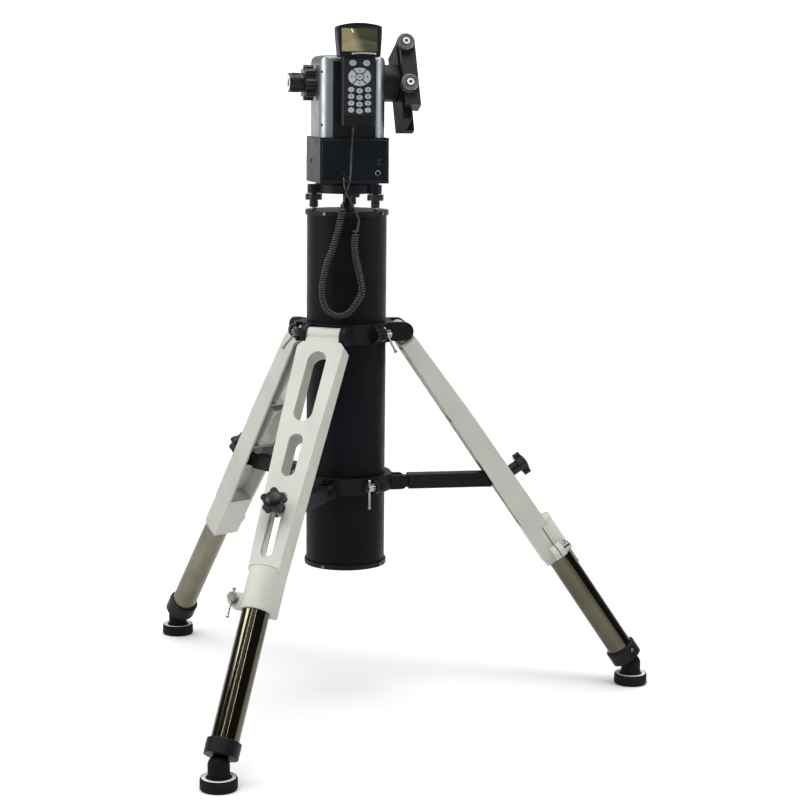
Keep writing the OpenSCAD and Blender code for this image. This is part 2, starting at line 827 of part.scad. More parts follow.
// round tube along a route that never points straight along Y
module tube(route, r, sides) {
  p = smooth_route(route);
  last = len(p) - 1;
  rings = [for (i = [0 : last])
    let(along = unit(p[min(i + 1, last)] - p[max(i - 1, 0)]), side = unit(cross(along, [0, 1, 0])), up = cross(side, along))
    for (k = [0 : sides - 1]) p[i] + r * (cos(360 * k / sides) * side + sin(360 * k / sides) * up)];
  faces = [
    [for (k = [0 : sides - 1]) k],
    [for (k = [sides - 1 : -1 : 0]) last * sides + k],
    for (i = [0 : last - 1], k = [0 : sides - 1])
      let(n = (k + 1) % sides) [i * sides + k, (i + 1) * sides + k, (i + 1) * sides + n, i * sides + n]
  ];
  polyhedron(rings, faces, convexity = 10);
}

module cord_top_lead() { color("#202225") tube(top_lead, cord_r, 8); }

module cord_coil() { color("#202225") tube(coil_route, coil_r, 12); }

module cord_plug_lead() { color("#202225") tube(plug_lead, cord_r, 8); }

module cord_plug() {
  color("#2b2d30") in_head() translate([-25, -box_w / 2, box_low + 19.5]) {
    block([-4.8, -8, -4.5], [4.8, 6, 4.5]);
    block([-5.5, -20, -5], [5.5, -gap, 5]);
  }
}
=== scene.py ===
"""Looks of an alt-azimuth telescope mount on a pier with three folding legs.

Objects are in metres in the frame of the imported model: +Z up, the front of the
mount faces -Y, and the origin lies on the floor under the pier's axis. Meshes
are built in millimetres and scaled to metres when they are finished.
"""

import math

import bmesh
import bpy
from mathutils import Matrix, Vector


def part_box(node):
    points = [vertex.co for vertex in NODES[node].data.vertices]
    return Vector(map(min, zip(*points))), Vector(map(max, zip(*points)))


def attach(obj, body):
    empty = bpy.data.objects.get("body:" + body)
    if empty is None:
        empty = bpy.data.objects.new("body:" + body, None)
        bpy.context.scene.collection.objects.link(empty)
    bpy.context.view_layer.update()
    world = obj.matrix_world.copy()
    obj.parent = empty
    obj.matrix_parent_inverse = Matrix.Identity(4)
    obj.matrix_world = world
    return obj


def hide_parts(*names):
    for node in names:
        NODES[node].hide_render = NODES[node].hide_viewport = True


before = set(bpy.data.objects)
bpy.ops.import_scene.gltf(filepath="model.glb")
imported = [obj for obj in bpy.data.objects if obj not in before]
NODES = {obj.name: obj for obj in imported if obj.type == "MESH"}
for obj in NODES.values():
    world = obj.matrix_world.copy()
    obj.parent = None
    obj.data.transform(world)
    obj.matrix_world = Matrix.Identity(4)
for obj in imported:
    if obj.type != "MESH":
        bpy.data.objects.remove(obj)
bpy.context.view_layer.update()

MM = 0.001

# ---- sizes repeated from the part's source, in millimetres and degrees ----

PIER_HIGH = 961
LEG_TURN = 8.6
LEG_ANGLE = 34.2
LEG_LEAN = math.radians(LEG_ANGLE)
HINGE_OUT = 106
HINGE_HIGH = 730
AXIS_X = 12
TUBE_R = 25.4
BALL_DOWN = 840
BALL_OUT = HINGE_OUT + BALL_DOWN * math.sin(LEG_LEAN) + AXIS_X * math.cos(LEG_LEAN)
PAD_HIGH = 20
STRUT_HIGH = 430.5
PIVOT_DOWN = (HINGE_HIGH - STRUT_HIGH) / math.cos(LEG_LEAN)
LEVEL_R = 68
LEVEL_TURN = (202, 322, 82)
HEAD_YAW = 12.5
BOX_W = 132.5
BOX_LOW = 1013.5
BOX_TOP = 1099
PORTS_X = (-25, -11)
SOCKET_HIGH = 19.5  # middle of the ports and of the jack, above the box's underside
JACK_X = 44.5
ROCKER_X, ROCKER_HIGH = 46, 41
ALT_Z = BOX_TOP + 101
TOWER_W = 127
TOWER_DEEP = 118
SADDLE_TILT = 25
HUB_OUT = 93
DRUM_R = 18
DRUM_OUT = TOWER_W / 2 + 50.5
HANDSET_LOW = BOX_TOP + 22
HANDSET_BACK = -TOWER_DEEP / 2 - 4.5
HANDSET_FRONT = HANDSET_BACK - 26
HANDSET_HEAD = HANDSET_LOW + 187 - 61
HANDSET_LEAN = 4
MAT_OUT = 1
KEY_OUT = 1.6
NAV_Z = HANDSET_LOW + 90.5


def turn(degrees, axis):
    return Matrix.Rotation(math.radians(degrees), 4, axis)


def shift(x, y, z):
    return Matrix.Translation((x, y, z))


# frames of the parts, in millimetres
ROOM = Matrix.Identity(4)
FORWARD = turn(90, "X")  # z turned to face -Y, with x across and y up
OUTWARD = turn(90, "Y")  # z turned to face +X
RADIAL = [turn(LEG_TURN + 120 * i, "Z") for i in range(3)]
LEG = [r @ shift(HINGE_OUT, 0, HINGE_HIGH) @ turn(-LEG_ANGLE, "Y") for r in RADIAL]
HEAD = turn(HEAD_YAW, "Z")
SADDLE = HEAD @ shift(0, 0, ALT_Z) @ turn(-SADDLE_TILT, "X")
HANDSET = HEAD @ shift(2.5, 0, 0)
SCREEN = HANDSET @ shift(0, HANDSET_BACK, HANDSET_HEAD) @ turn(-HANDSET_LEAN, "X")

# ---- camera ----

FOCAL_PIXELS = 2041.1
LONG_SIDE = 809
SENSOR = 36
CAMERA_AT = (0, -3.9156, 1.1995)
PITCH, YAW, ROLL = 8.93, 1.495, 0.548


def make_camera():
    p, y, r = (math.radians(a) for a in (PITCH, YAW, ROLL))
    ahead = Vector((math.sin(y) * math.cos(p), math.cos(y) * math.cos(p), -math.sin(p)))
    right = Vector((math.cos(y), -math.sin(y), 0))
    up = right.cross(ahead)
    right, up = (
        right * math.cos(r) + up * math.sin(r),
        up * math.cos(r) - right * math.sin(r),
    )
    data = bpy.data.cameras.new("camera")
    data.sensor_width = SENSOR
    data.lens = SENSOR * FOCAL_PIXELS / LONG_SIDE
    data.clip_start, data.clip_end = 0.05, 100
    camera = bpy.data.objects.new("camera", data)
    bpy.context.scene.collection.objects.link(camera)
    turned = Matrix((right, up, -ahead)).transposed().to_4x4()
    camera.matrix_world = Matrix.Translation(CAMERA_AT) @ turned
    bpy.context.scene.camera = camera


make_camera()

# ---- materials ----


def set_range(node, low, high, out_low, out_high):
    """Sets a Map Range node to ease from out_low to out_high, and gives its output."""
    node.interpolation_type = "SMOOTHSTEP"
    for socket, number in (
        ("From Min", low),
        ("From Max", high),
        ("To Min", out_low),
        ("To Max", out_high),
    ):
        node.inputs[socket].default_value = number
    return node.outputs["Result"]


class Graph:
    """A new material with a Principled shader, and short calls to add its nodes."""

    def __init__(self, name):
        self.material = bpy.data.materials.new(name)
        self.material.use_nodes = True
        self.tree = self.material.node_tree
        self.shader = self.tree.nodes["Principled BSDF"]
        self.place = self.add("ShaderNodeTexCoord").outputs["Object"]

    def add(self, kind, **values):
        node = self.tree.nodes.new(kind)
        for key, value in values.items():
            setattr(node, key, value)
        return node

    def join(self, output, node, socket):
        self.tree.links.new(output, node.inputs[socket])

    def feed(self, node, socket, value):
        """Links an output to the socket, or sets the socket to a number or a colour."""
        if isinstance(value, (int, float)):
            node.inputs[socket].default_value = value
        elif isinstance(value, tuple):
            node.inputs[socket].default_value = (*value, 1)
        else:
            self.join(value, node, socket)

    def noise(self, scale, detail=3, rough=0.55, stretch=None):
        node = self.add("ShaderNodeTexNoise")
        node.inputs["Scale"].default_value = scale
        node.inputs["Detail"].default_value = detail
        node.inputs["Roughness"].default_value = rough
        place = self.place
        if stretch:
            mapping = self.add("ShaderNodeMapping")
            mapping.inputs["Scale"].default_value = stretch
            self.join(place, mapping, "Vector")
            place = mapping.outputs["Vector"]
        self.join(place, node, "Vector")
        return node.outputs["Fac"]

    def ramp(self, value, low, high, out_low=0.0, out_high=1.0):
        node = self.add("ShaderNodeMapRange")
        self.join(value, node, "Value")
        return set_range(node, low, high, out_low, out_high)

    def math(self, operation, a, b):
        node = self.add("ShaderNodeMath", operation=operation)
        self.feed(node, 0, a)
        self.feed(node, 1, b)
        return node.outputs[0]

    def along(self, direction):
        """How far a place lies along a direction, in object coordinates."""
        node = self.add("ShaderNodeVectorMath", operation="DOT_PRODUCT")
        self.join(self.place, node, 0)
        node.inputs[1].default_value = direction
        return node.outputs["Value"]

    def mix(self, factor, a, b):
        """Colour that goes from a to b; each is a colour or an output."""
        node = self.add("ShaderNodeMix", data_type="RGBA")
        self.join(factor, node, 0)
        self.feed(node, 6, a)
        self.feed(node, 7, b)
        return node.outputs[2]

    def edges(self, radius):
        """0 on flat faces and up to 1 along sharp edges, and the rounded normal."""
        bevel = self.add("ShaderNodeBevel", samples=4)
        bevel.inputs["Radius"].default_value = radius
        plain = self.add("ShaderNodeNewGeometry").outputs["Normal"]
        dot = self.add("ShaderNodeVectorMath", operation="DOT_PRODUCT")
        self.join(bevel.outputs["Normal"], dot, 0)
        self.join(plain, dot, 1)
        return self.ramp(dot.outputs["Value"], 0.99, 0.86), bevel.outputs["Normal"]

    def bump(self, height, strength, distance, normal=None):
        node = self.add("ShaderNodeBump")
        node.inputs["Strength"].default_value = strength
        node.inputs["Distance"].default_value = distance
        self.join(height, node, "Height")
        if normal is not None:
            self.join(normal, node, "Normal")
        return node.outputs["Normal"]

    def set(self, **values):
        """Values of the shader's own sockets, with _ for each space in a name."""
        for key, value in values.items():
            self.feed(self.shader, key.replace("_", " "), value)


def coated(
    name, dark, light, rough, grain, depth,
    edge=None, radius=0.0008, metallic=0.0, specular=0.5, dust=None,
):
    """Painted, moulded or anodised surface: fine grain, slow mottling, and worn edges.

    grain is the scale of the fine noise; its depth and the edges' radius are in
    metres. With dust, faces that look up carry a little of it.
    """
    g = Graph(name)
    colour = g.mix(g.ramp(g.noise(9, 4), 0.3, 0.7), dark, light)
    fine = g.noise(grain, 2, 0.6)
    mask, soft = g.edges(radius) if radius else (None, None)
    if dust:
        facing = g.add("ShaderNodeSeparateXYZ")
        g.join(g.add("ShaderNodeNewGeometry").outputs["Normal"], facing, 0)
        upward = g.ramp(facing.outputs["Z"], 0.3, 1.0, 0, 0.18)
        patches = g.ramp(g.noise(60, 5, 0.7), 0.35, 0.7)
        colour = g.mix(g.math("MULTIPLY", upward, patches), colour, dust)
    if edge:
        patches = g.ramp(g.noise(140, 3, 0.7), 0.35, 0.65, 0.25, 1)
        colour = g.mix(g.math("MULTIPLY", mask, patches), colour, edge)
    g.set(
        Base_Color=colour,
        Roughness=g.ramp(g.noise(35, 5, 0.6), 0.25, 0.75, rough - 0.06, rough + 0.07),
        Metallic=metallic,
        Specular_IOR_Level=specular,
        Normal=g.bump(fine, 0.35, depth, soft),
    )
    return g.material


def metal(name, dark, light, rough, brushed=(1, 1, 1), radius=0.0004, scratch=0.00002):
    """Bare or plated metal with smudges, and brushing where its noise is stretched."""
    g = Graph(name)
    lines = g.noise(220, 4, 0.6, brushed)
    smudge = g.ramp(g.noise(14, 3, 0.5), 0.2, 0.8)
    streaks = g.ramp(lines, 0.2, 0.8, rough - 0.04, rough + 0.05)
    _, soft = g.edges(radius)
    g.set(
        Base_Color=g.mix(smudge, light, dark),
        Metallic=1.0,
        Roughness=g.math("ADD", streaks, g.math("MULTIPLY", smudge, 0.04)),
        Normal=g.bump(lines, 0.25, scratch, soft),
    )
    return g.material


def keypad(name, low, high, face):
    """Dark silicone whose raised keys are light: the colour changes a little above the mat."""
    g = Graph(name)
    forward = (HEAD.to_3x3() @ Vector((0, -1, 0))).normalized()
    raised = g.ramp(g.along(forward), (face + 0.25) * MM, (face + 0.4) * MM)
    patchy = g.math("MULTIPLY", raised, g.ramp(g.noise(60, 3), 0.2, 0.6, 0.88, 1))
    fine = g.noise(900, 2)
    _, soft = g.edges(0.0005)
    g.set(
        Base_Color=g.mix(patchy, low, high),
        Roughness=g.ramp(g.noise(35, 5, 0.6), 0.25, 0.75, 0.42, 0.55),
        Specular_IOR_Level=0.3,
        Normal=g.bump(fine, 0.3, 0.00005, soft),
    )
    return g.material


def display(name):
    """Olive liquid crystal with a faint grid of rows, and a warm beige sheen towards one
    corner that is a painted reflection.
    """
    g = Graph(name)
    rows = g.add("ShaderNodeTexWave", wave_type="BANDS", bands_direction="Z")
    rows.inputs["Scale"].default_value = 55
    rows.inputs["Distortion"].default_value = 0.3
    g.join(g.place, rows, "Vector")
    # a painted reflection: a beige sheen that fades in across a diagonal towards one corner
    to_corner = SCREEN.to_3x3() @ Vector((1, 0, 0.45))
    middle = (SCREEN @ Vector((-6, -32, 28))).dot(to_corner) * MM
    painted_sheen = g.ramp(g.along(to_corner), middle + 0.012, middle - 0.010)
    slow = g.ramp(g.noise(14, 3), 0.3, 0.7)
    colour = g.mix(slow, (0.040, 0.044, 0.020), (0.060, 0.062, 0.030))
    # the painted sheen's beige, laid over the olive crystal
    colour = g.mix(painted_sheen, colour, (0.28, 0.235, 0.128))
    lines = g.ramp(rows.outputs["Fac"], 0.75, 1.0, 0, 0.12)
    g.set(
        Base_Color=g.mix(lines, colour, (0.03, 0.03, 0.016)),
        Roughness=g.ramp(g.noise(40), 0.2, 0.8, 0.05, 0.09),
        Specular_IOR_Level=0.6,
    )
    return g.material


OLIVE = (0.035, 0.034, 0.024)  # dust on black surfaces

# name: dark and light colour, roughness, scale and depth of the grain, and the rest
COATED = {
    "pier_coat": (
        (0.002, 0.0030, 0.0042), (0.004, 0.0055, 0.0075), 0.42, 900, 0.00006,
        dict(edge=(0.02, 0.02, 0.02), specular=0.08, dust=OLIVE),
    ),
    "black_steel": (
        (0.0035, 0.0045, 0.006), (0.007, 0.0085, 0.011), 0.42, 1100, 0.0001,
        dict(edge=(0.035, 0.035, 0.035), specular=0.14, dust=OLIVE),
    ),
    "leg_coat": (
        (0.46, 0.475, 0.425), (0.53, 0.545, 0.49), 0.5, 700, 0.0001,
        dict(edge=(0.66, 0.67, 0.63), radius=0.0012, specular=0.25),
    ),
    "box_coat": (
        (0.003, 0.005, 0.007), (0.005, 0.008, 0.011), 0.4, 900, 0.00001,
        dict(edge=(0.05, 0.055, 0.05), specular=0.12, dust=OLIVE),
    ),
    "moulded": (
        (0.003, 0.004, 0.0055), (0.0055, 0.007, 0.009), 0.42, 1500, 0.00008,
        dict(edge=(0.02, 0.02, 0.025), specular=0.18, dust=OLIVE),
    ),
    "tower_silver": (
        (0.20, 0.217, 0.225), (0.24, 0.26, 0.268), 0.38, 1800, 0.0000005,
        dict(radius=0, metallic=0.9),
    ),
    "rubber": (
        (0.003, 0.003, 0.0035), (0.007, 0.007, 0.008), 0.7, 500, 0.0003,
        dict(edge=(0.025, 0.025, 0.025), specular=0.15, dust=OLIVE),
    ),
    "knob_black": (
        (0.003, 0.004, 0.006), (0.006, 0.0075, 0.010), 0.33, 1400, 0.0001,
        dict(edge=(0.03, 0.03, 0.035), specular=0.3, dust=OLIVE),
    ),
    "anodised": (
        (0.010, 0.010, 0.008), (0.018, 0.017, 0.014), 0.42, 1600, 0.00004,
        dict(edge=(0.06, 0.06, 0.055), metallic=0.2, specular=0.2),
    ),
    "plate_black": (
        (0.006, 0.0055, 0.0045), (0.011, 0.010, 0.008), 0.5, 1600, 0.00004,
        dict(edge=(0.04, 0.04, 0.036), specular=0.07),
    ),
    "jaw_grey": (
        (0.022, 0.021, 0.019), (0.034, 0.033, 0.030), 0.4, 1600, 0.00004,
        dict(edge=(0.12, 0.12, 0.11), metallic=0.3, specular=0.2),
    ),
    "knob_grey": (
        (0.14, 0.14, 0.13), (0.20, 0.20, 0.19), 0.36, 1500, 0.00004,
        dict(edge=(0.36, 0.36, 0.34), metallic=0.4),
    ),
    "key_grey": (
        (0.34, 0.36, 0.37), (0.41, 0.43, 0.45), 0.45, 900, 0.00004,
        dict(edge=(0.5, 0.52, 0.54), radius=0.0005, specular=0.25),
    ),
    "ring_white": (
        (0.66, 0.66, 0.64), (0.76, 0.76, 0.74), 0.45, 900, 0.0001,
        dict(edge=(0.8, 0.8, 0.78), radius=0.0006),
    ),
    "mark": (
        (0.01, 0.012, 0.014), (0.02, 0.022, 0.025), 0.5, 900, 0.00003,
        dict(specular=0.3),
    ),
    "cord_black": (
        (0.003, 0.0035, 0.0045), (0.006, 0.007, 0.008), 0.24, 2200, 0.00002,
        dict(radius=0, specular=0.6),
    ),
}
# name: dark and light colour, roughness, and the rest
METALS = {
    # the tube steel's dark brown colours stand in for the dark surroundings that the tubes
    # reflect: a painted reflection. The back-left tube's copy is paler and rougher: a paler
    # painted reflection.
    "polished": (
        (0.09, 0.082, 0.058), (0.12, 0.11, 0.08), 0.06,
        dict(brushed=(1, 1, 0.05), scratch=0),
    ),
    "polished_paler_reflection": (
        (0.14, 0.13, 0.095), (0.22, 0.205, 0.155), 0.3,
        dict(brushed=(1, 1, 0.05)),
    ),
    "zinc": ((0.20, 0.205, 0.20), (0.50, 0.51, 0.50), 0.2, {}),
    "steel": ((0.08, 0.082, 0.085), (0.18, 0.185, 0.19), 0.3, {}),
    "aluminium": ((0.55, 0.56, 0.56), (0.75, 0.76, 0.76), 0.3, {}),
}
LOOKS = {name: coated(name, *values, **rest) for name, (*values, rest) in COATED.items()}
for name, (*values, rest) in METALS.items():
    LOOKS[name] = metal(name, *values, **rest)
LOOKS["keypad"] = keypad(
    "keypad", (0.006, 0.008, 0.011), (0.36, 0.38, 0.40), MAT_OUT - HANDSET_FRONT
)
LOOKS["display"] = display("display")


def dress(names, look):
    for name in names.split():
        node = NODES[name]
        node.data.materials.clear()
        node.data.materials.append(LOOKS[look])


def thrice(name):
    return " ".join(f"{name}_{i}" for i in (1, 2, 3))


dress("pier_tube", "pier_coat")
dress("pier_top_cap pier_bottom_cap levelling_plate hinge_pins", "black_steel")
dress("upper_collar lower_collar " + thrice("strut"), "black_steel")
dress("cap_screws " + thrice("slot_shoe"), "steel")
dress("collar_clamp_screws " + thrice("leg_clamp_screw"), "zinc")
dress(thrice("leg_casting"), "leg_coat")
dress("leg_tube_1 leg_tube_3", "polished")
dress("leg_tube_2", "polished_paler_reflection")
dress(thrice("tube_boot"), "moulded")
dress(thrice("foot"), "rubber")
dress(thrice("star_knob") + " " + thrice("levelling_screw"), "knob_black")
dress("base_box", "box_coat")
dress("power_rocker tower_cover handset_body cord_plug", "moulded")
dress("tower_shell", "tower_silver")
dress("altitude_shaft", "aluminium")
dress("clutch_wheel counterweight_socket", "knob_black")
dress("azimuth_spindle altitude_hub", "anodised")
dress("saddle_plate", "plate_black")
dress("saddle_jaw", "jaw_grey")
dress("saddle_knob_upper saddle_knob_lower", "knob_grey")
dress("handset_screen", "mark")
dress("handset_keypad", "keypad")
dress("key_up key_right key_down key_left", "key_grey")
dress("cord_top_lead cord_coil cord_plug_lead", "cord_black")

# ---- mesh helpers ----


def finish_mesh(name, bm, place, look, body, slot=None, sharp=35):
    """Turns bm, built in millimetres, into a piece that rides on a body."""
    bmesh.ops.remove_doubles(bm, verts=bm.verts, dist=0.0005)
    bmesh.ops.recalc_face_normals(bm, faces=bm.faces)
    for face in bm.faces:
        face.smooth = True
    limit = math.radians(sharp)
    for edge in bm.edges:
        if len(edge.link_faces) == 2:
            edge.smooth = edge.calc_face_angle(0) < limit
    bm.transform(Matrix.Diagonal((MM, MM, MM, 1)) @ place)
    mesh = bpy.data.meshes.new(name)
    bm.to_mesh(mesh)
    bm.free()
    mesh.materials.append(LOOKS[look])
    piece = bpy.data.objects.new(name, mesh)
    bpy.context.scene.collection.objects.link(piece)
    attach(piece, body)
    return piece


def circle_outline(radius, steps):
    angles = (2 * math.pi * k / steps for k in range(steps))
    return [(radius * math.cos(a), radius * math.sin(a)) for a in angles]


def round_outline(width, depth, radius, steps=6):
    """Rectangle with rounded corners."""
    points = []
    for corner, (sx, sy) in enumerate(((1, 1), (-1, 1), (-1, -1), (1, -1))):
        for k in range(steps + 1):
            a = math.radians(90 * corner + 90 * k / steps)
            x = sx * (width / 2 - radius) + radius * math.cos(a)
            y = sy * (depth / 2 - radius) + radius * math.sin(a)
            points.append((x, y))
    return points


def add_lathe(bm, profile, steps=48, at=ROOM):
    """Closed solid turned about Z from (radius, height) corners."""
    rings = []
    for radius, height in profile:
        if radius < 1e-6:
            rings.append([bm.verts.new(at @ Vector((0, 0, height)))])
            continue
        ring = circle_outline(radius, steps)
        rings.append([bm.verts.new(at @ Vector((x, y, height))) for x, y in ring])
    pairs = list(zip(rings, rings[1:]))
    if len(rings[0]) > 1:
        pairs.append((rings[-1], rings[0]))
    for low, high in pairs:
        if len(low) == len(high) == 1:
            continue
        for k in range(steps):
            n = (k + 1) % steps
            if len(low) == 1:
                bm.faces.new((low[0], high[k], high[n]))
            elif len(high) == 1:
                bm.faces.new((low[k], high[0], low[n]))
            else:
                bm.faces.new((low[k], high[k], high[n], low[n]))


def add_prism(bm, outline, low, high, at=ROOM, bevel=0.0):
    """Outline in x and y drawn out along z, with its rims bevelled."""
    bottom = [bm.verts.new(at @ Vector((x, y, low))) for x, y in outline]
    top = [bm.verts.new(at @ Vector((x, y, high))) for x, y in outline]
    count = len(outline)
    made = [bm.faces.new(bottom[::-1]), bm.faces.new(top)]
    for k in range(count):
        n = (k + 1) % count
        bm.faces.new((bottom[k], bottom[n], top[n], top[k]))
    if bevel:
        rims = list({edge for face in made for edge in face.edges})
        bmesh.ops.bevel(bm, geom=rims, offset=bevel, segments=2, affect="EDGES", profile=0.6)


def add_frame(bm, width, height, line, low, high, at):
    """Rectangular frame of four bars, each line wide, inside width and height."""
    for x, y, w, h in (
        (0, (height - line) / 2, width, line),
        (0, (line - height) / 2, width, line),
        ((width - line) / 2, 0, line, height - 2 * line),
        ((line - width) / 2, 0, line, height - 2 * line),
    ):
        left, right, bottom, top = x - w / 2, x + w / 2, y - h / 2, y + h / 2
        outline = ((left, bottom), (right, bottom), (right, top), (left, top))
        add_prism(bm, outline, low, high, at)


def add_stroke(bm, x0, y0, x1, y1, wide, at):
    """Flat line from one point to another, longer at each end by half its width."""
    dx, dy = x1 - x0, y1 - y0
    long = math.hypot(dx, dy)
    nx, ny = -dy / long * wide / 2, dx / long * wide / 2
    ex, ey = dx / long * wide / 2, dy / long * wide / 2
    corners = (
        (x0 - ex + nx, y0 - ey + ny),
        (x0 - ex - nx, y0 - ey - ny),
        (x1 + ex - nx, y1 + ey - ny),
        (x1 + ex + nx, y1 + ey + ny),
    )
    add_prism(bm, corners[::-1], -0.05, 0.12, at)


def turned(name, profile, place, look, body, slot, steps=48, sharp=35):
    """Piece turned about its frame's Z from (radius, height) corners."""
    bm = bmesh.new()
    add_lathe(bm, profile, steps)
    return finish_mesh(name, bm, place, look, body, slot, sharp)


def catmull(points, steps):
    """The points with steps places along a smooth curve between each two."""
    last = len(points) - 1
    made = []
    for i in range(last):
        a, b, c, d = (Vector(points[k]) for k in (max(i - 1, 0), i, i + 1, min(i + 2, last)))
        square = 2 * a - 5 * b + 4 * c - d
        cube = 3 * b - 3 * c + d - a
        for k in range(steps):
            t = k / steps
            made.append(0.5 * (2 * b + (c - a) * t + square * t**2 + cube * t**3))
    return made + [Vector(points[-1])]


# ---- cord: lead, coil and lead, as one curve ----

CORD_R = 1.9
COIL_LINE_R = 5.1
COIL_TURNS = 92
UNCURL_TURNS = 5  # turns over which each end of the coil straightens
POINTS_A_TURN = 14
LEAD_STEPS, ROUTE_STEPS = 4, 24
DIRECTION_SPAN = 6  # steps on each side that give the route's direction
TOP_LEAD = (
    (11, -76, 1128), (10.5, -78, 1112), (8, -88, 1080), (7, -96, 1046), (5, -99, 1022),
    (-1, -102, 998), (-7, -104, 980),
)
COIL_ROUTE = (
    (-7, -104, 980), (-12, -104, 948), (-18, -105, 922), (-26, -106, 894), (-35, -106, 871),
    (-42, -107, 843), (-45, -108, 819), (-43, -108, 796), (-35, -108, 779), (-22, -108, 770),
    (-8, -108, 769), (7, -109, 778), (20, -109, 796), (28, -109, 814), (26, -109, 834),
    (21, -109, 858), (16, -108, 882), (14, -108, 906), (16, -108, 924), (21, -108, 936),
)
PLUG_LEAD = (
    (21, -108, 936), (22, -108, 948), (18, -108, 960), (9, -109, 979), (-2, -109, 1002),
    (-6, -103, 1021), (-6, -89, 1031),
)


def eased(t):
    return t * t * (3 - 2 * t)


def coiled(route, turns):
    """Helix about the route, which uncurls into the route's own line at both ends."""
    line = catmull(route, ROUTE_STEPS)
    reach = [0.0]
    for a, b in zip(line, line[1:]):
        reach.append(reach[-1] + (b - a).length)
    total = reach[-1]
    points, at, angle = [], 0, 0.0
    count = turns * POINTS_A_TURN
    for k in range(count + 1):
        s = total * k / count
        while at < len(line) - 2 and reach[at + 1] < s:
            at += 1
        t = (s - reach[at]) / (reach[at + 1] - reach[at])
        centre = line[at].lerp(line[at + 1], t)
        before = line[max(at - DIRECTION_SPAN, 0)]
        after = line[min(at + 1 + DIRECTION_SPAN, len(line) - 1)]
        ahead = (after - before).normalized()
        side = Vector((0, 1, 0)).cross(ahead).normalized()
        up = ahead.cross(side)
        ends = min(1.0, min(k, count - k) / (UNCURL_TURNS * POINTS_A_TURN))
        radius = COIL_LINE_R * eased(min(1.0, 2 * ends))
        points.append(centre + radius * (side * math.cos(angle) + up * math.sin(angle)))
        angle += 2 * math.pi / POINTS_A_TURN * eased(ends)
    return points


def make_cord():
    top, plug = catmull(TOP_LEAD, LEAD_STEPS), catmull(PLUG_LEAD, LEAD_STEPS)
    points = top[:-1] + coiled(COIL_ROUTE, COIL_TURNS) + plug[1:]
    points = [p * MM for p in points]
    data = bpy.data.curves.new("handset_cord", "CURVE")
    data.dimensions = "3D"
    data.bevel_depth = CORD_R * MM
    data.bevel_resolution = 3
    data.use_fill_caps = True
    spline = data.splines.new("POLY")
    spline.points.add(len(points) - 1)
    for point, place in zip(spline.points, points):
        point.co = (*place, 1)
    spline.use_smooth = True
    data.materials.append(LOOKS["cord_black"])
    cord = bpy.data.objects.new("handset_cord", data)
    bpy.context.scene.collection.objects.link(cord)
    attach(cord, "head")
    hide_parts("cord_top_lead", "cord_coil", "cord_plug_lead")


make_cord()

# ---- feet and legs ----

for i in range(3):
    k = i + 1
    foot, tube, leg = f"foot_{k}", f"lower_leg_{k}", f"leg_{k}"
    under = RADIAL[i] @ shift(BALL_OUT, 0, 0)
    p = PAD_HIGH
    turned(
        f"foot_ring_{k}",
        ((22.9, p - 0.5), (30, p - 0.5), (30, p + 0.9), (29.6, p + 1.2), (23.3, p + 1.2),
         (22.9, p + 0.9)),
        under, "ring_white", foot, "foot_rubber",
    )
    turned(
        f"foot_rim_{k}",
        ((30, p - 1.5), (31.6, p - 1.5), (31.8, p + 0.9), (31.2, p + 1.6), (30.4, p + 1.4),
         (30, p + 0.8)),
        under, "rubber", foot, "foot_rubber",
    )
    turned(
        f"foot_washer_{k}",
        ((19, p - 0.5), (22.6, p - 0.5), (22.6, p + 2), (22, p + 2.6), (19.6, p + 3.4),
         (19, p + 3.4)),
        under, "rubber", foot, "foot_rubber",
    )

    # heights below are measured along the tube from the leg's hinge
    down = LEG[i] @ shift(AXIS_X, 0, 0)
    # rolled lip at the top of the boot, where the tube goes in
    turned(
        f"boot_lip_{k}",
        ((TUBE_R + 0.2, -799.6), (30.2, -799.6), (31.2, -798.8), (31, -797.8), (28.5, -796.6),
         (TUBE_R + 0.6, -796.4), (TUBE_R + 0.2, -797)),
        down, "moulded", tube, "black_plastic",
    )
    turned(
        f"boot_screw_{k}",
        ((0, 0.4), (1.5, 0.4), (1.6, 1.3), (2.9, 1.4), (3.3, 0.9), (3.4, -1.5), (0, -1.5)),
        down @ shift(0, 0, -809) @ turn(-62, "Z") @ shift(30.4, 0, 0) @ OUTWARD,
        "zinc", tube, "zinc_screws", 24,
    )
    # turned collar at the mouth of the casting's socket, and the lip above the socket
    turned(
        f"socket_mouth_{k}",
        ((TUBE_R + 0.25, -560.6), (29.0, -560.6), (29.3, -560.2), (29.3, -559),
         (TUBE_R + 0.25, -559)),
        down, "leg_coat", leg, "white_casting",
    )
    turned(
        f"socket_lip_{k}",
        ((28.6, -481), (30.1, -480.6), (30.6, -479.3), (30.1, -478), (28.6, -477.6)),
        down, "leg_coat", leg, "white_casting", 64,
    )
    turned(
        f"star_knob_dome_{k}",
        ((0, 62.6), (5, 62.3), (11, 61.2), (15.5, 59.4), (17, 57.6), (0, 57.6)),
        LEG[i] @ shift(0, 0, -PIVOT_DOWN) @ OUTWARD,
        "knob_black", f"knob_{k}", "black_plastic", 40,
    )

# ---- levelling screws ----

